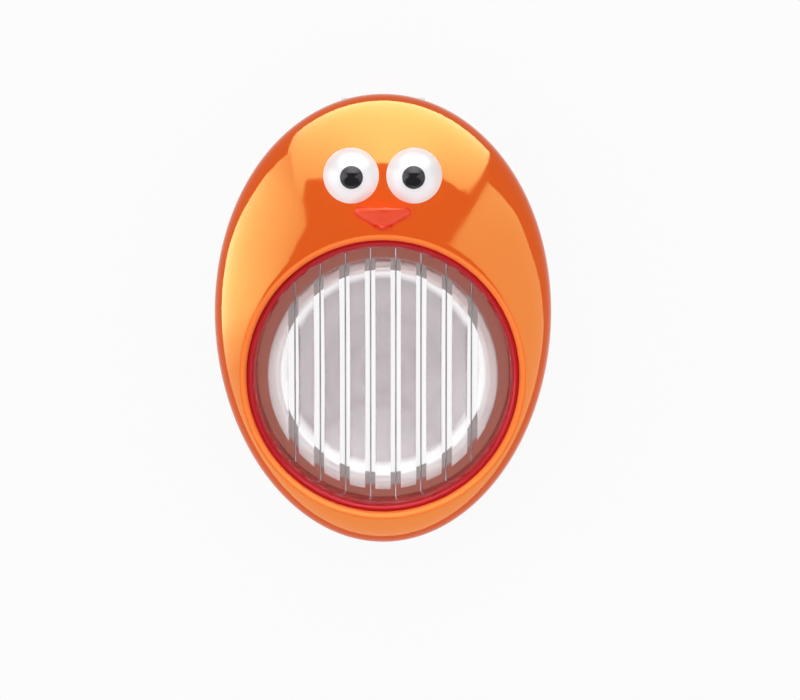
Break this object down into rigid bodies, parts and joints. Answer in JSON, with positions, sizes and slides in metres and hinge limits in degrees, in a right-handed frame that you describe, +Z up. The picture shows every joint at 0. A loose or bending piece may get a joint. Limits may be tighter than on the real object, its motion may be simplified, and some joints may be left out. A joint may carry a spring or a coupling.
{
  "type": "egg slicer",
  "caption": "Hinged egg slicer: egg-shaped bird-face lid with a ring of cutting wires over a slotted dish in a clear base.",
  "frame": {"origin": "on the table, under the middle of the closed slicer", "axes": "+Z up, +Y along the length towards the hinge and the face, +X to the right seen from the front"},
  "size_m": [0.099, 0.132, 0.0372],
  "materials": {
    "clear_plastic": "clear and glossy",
    "orange_plastic": "high gloss",
    "red_plastic": "gloss",
    "beak_plastic": "gloss",
    "white_plastic": "gloss",
    "black_plastic": "high gloss",
    "steel": "bright drawn wire"
  },
  "bodies": {
    "base": {"base": "clear_plastic", "cradle": "clear_plastic", "hinge_pin": "steel"},
    "lid": {"lid_shell": "orange_plastic", "mouth_ring": "red_plastic", "wire_cover_ring": "red_plastic", "wire_1": "steel", "wire_2": "steel", "wire_3": "steel", "wire_4": "steel", "wire_5": "steel", "wire_6": "steel", "wire_7": "steel", "wire_8": "steel", "wire_crimps_hinge_end": "steel", "wire_crimps_front_end": "steel", "eye_left": "white_plastic", "eye_right": "white_plastic", "pupil_left": "black_plastic", "pupil_right": "black_plastic", "beak": "beak_plastic"}
  },
  "joints": [
    {"name": "lid_hinge", "type": "hinge", "parent": "base", "child": "lid", "pos_m": [0, 0.0618, 0.0113], "axis": [-1, 0, 0], "range_deg": [0, 95]}
  ]
}
